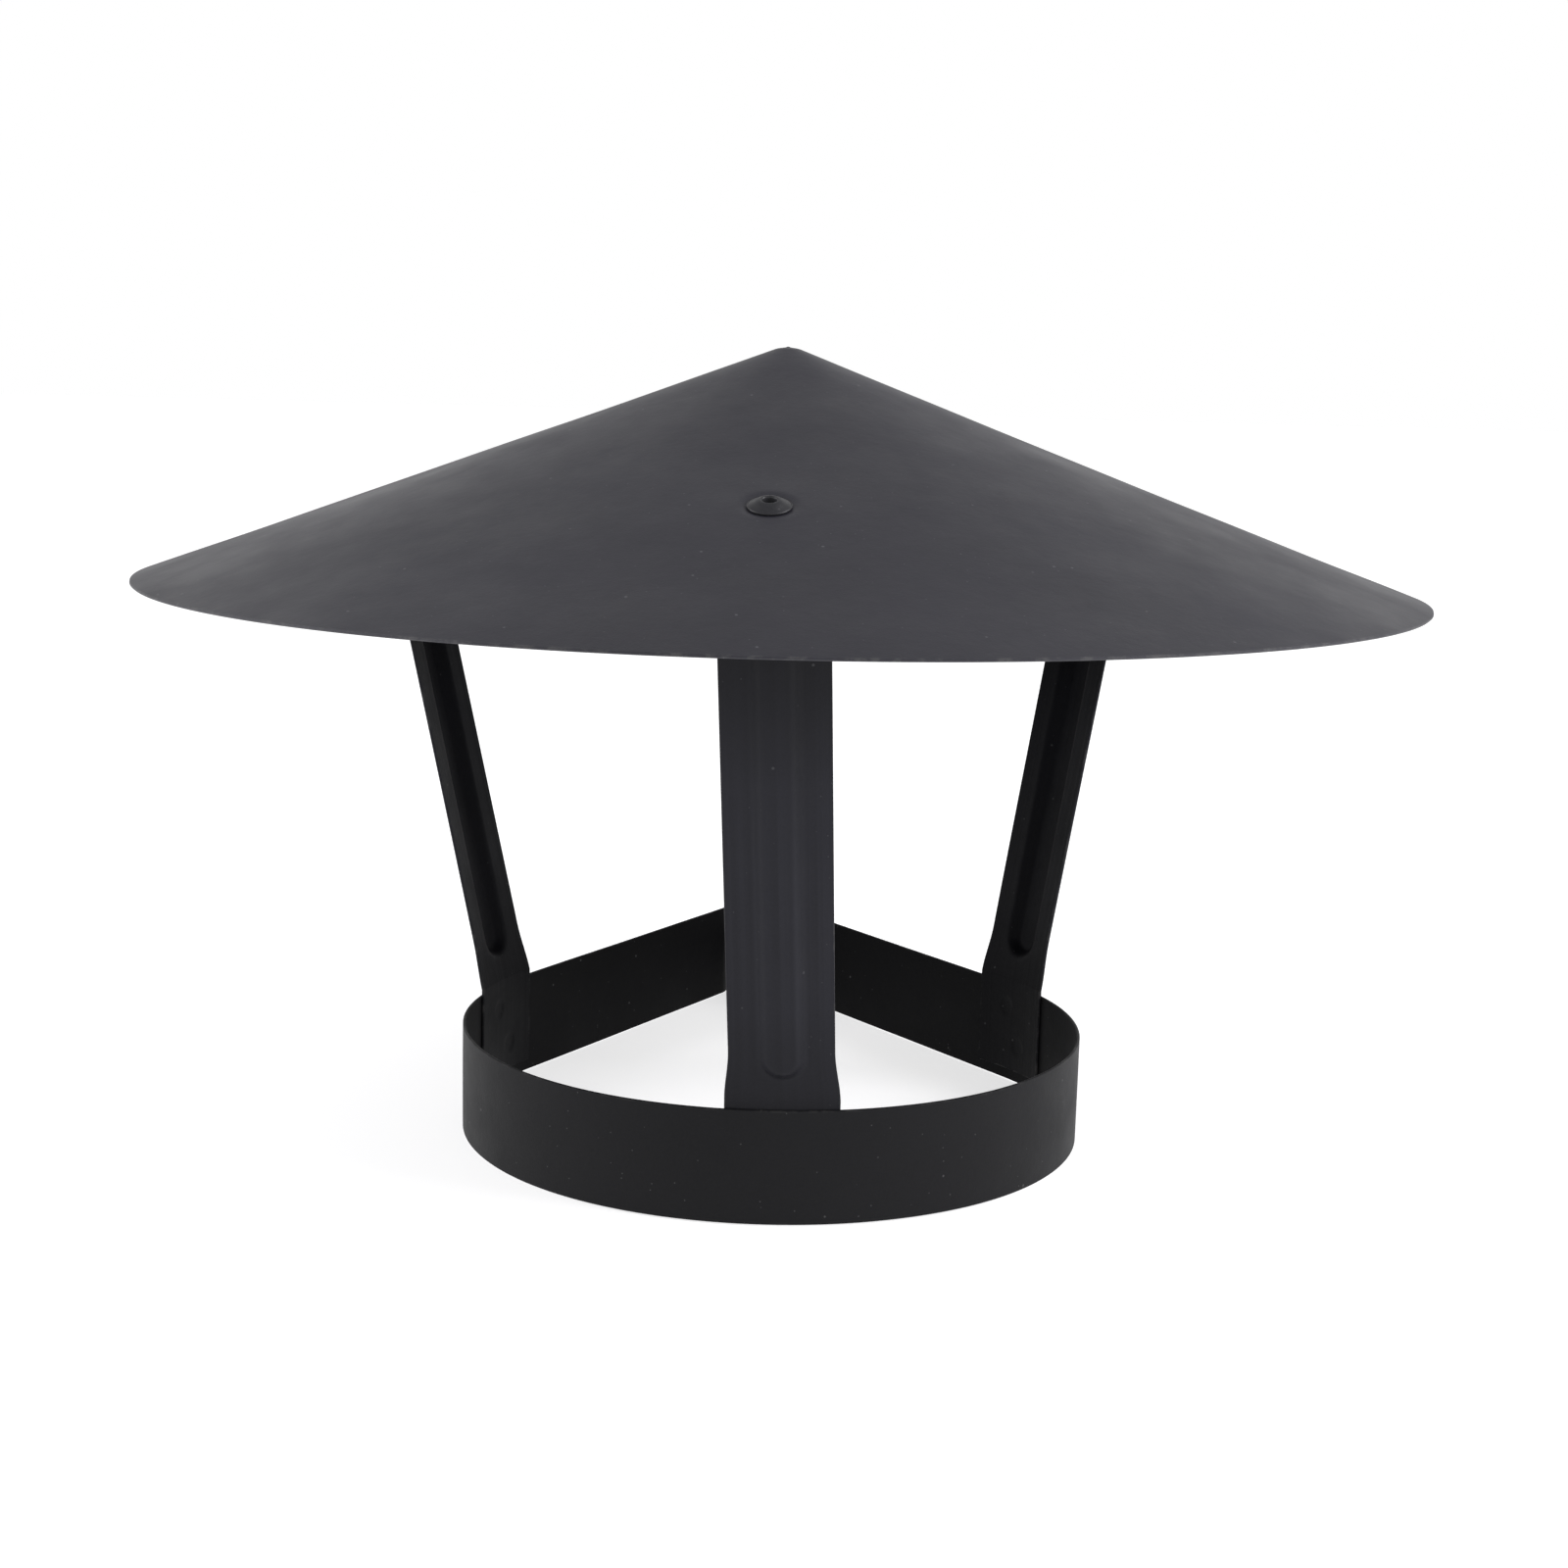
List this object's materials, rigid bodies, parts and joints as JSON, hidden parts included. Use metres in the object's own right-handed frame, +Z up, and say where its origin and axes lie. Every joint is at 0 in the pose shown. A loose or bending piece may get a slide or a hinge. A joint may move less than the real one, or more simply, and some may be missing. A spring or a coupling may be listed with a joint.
{
  "type": "flue rain cap",
  "caption": "Conical sheet-steel rain cap on pressed strip legs, with a bolted band that clamps round a stove or chiminea flue and lets smoke out between the legs",
  "frame": {"origin": "on the flue's axis, in the plane of the band's lower edge", "axes": "+Z up along the flue's axis to the peak of the cone; the front leg is on -Y; +Y points to the clamp's bolt; +X to the right seen from the front"},
  "size_m": [0.303, 0.303, 0.19],
  "materials": {
    "cap_paint": "matt dark grey heat-resistant paint with fine dust specks and shallow dents",
    "leg_paint": "matt near-black heat-resistant paint, a little bluish, with faint drawing lines along the strip",
    "band_paint": "matt near-black heat-resistant paint",
    "rivet_paint": "satin black painted aluminium",
    "mandrel_steel": "dull dark steel, as broken off",
    "black_steel": "black-oxide steel, a little shiny on the edges"
  },
  "bodies": {
    "cap_and_band": {"cap_cone": "cap_paint", "leg_front": "leg_paint", "leg_left": "leg_paint", "leg_right": "leg_paint", "clamp_band": "band_paint", "rivet_front": "rivet_paint", "rivet_left": "rivet_paint", "rivet_right": "rivet_paint", "mandrel_front": "mandrel_steel", "mandrel_left": "mandrel_steel", "mandrel_right": "mandrel_steel", "clamp_bolt": "black_steel", "washer_head_side": "black_steel"},
    "nut_washer": {"washer_nut_side": "black_steel"},
    "nut": {"clamp_nut": "black_steel"}
  },
  "joints": [
    {"name": "washer_slide", "type": "slide", "parent": "cap_and_band", "child": "nut_washer", "axis": [1, 0, 0], "range_m": [0, 0.006]},
    {"name": "nut_turn", "type": "hinge", "parent": "nut_washer", "child": "nut", "pos_m": [0, 0.136, 0.013], "axis": [1, 0, 0], "range_deg": [0, 2161]}
  ],
  "couplings": [
    {"joint": "nut_turn", "follows": "washer_slide", "rad_per_m": 6283.2}
  ]
}
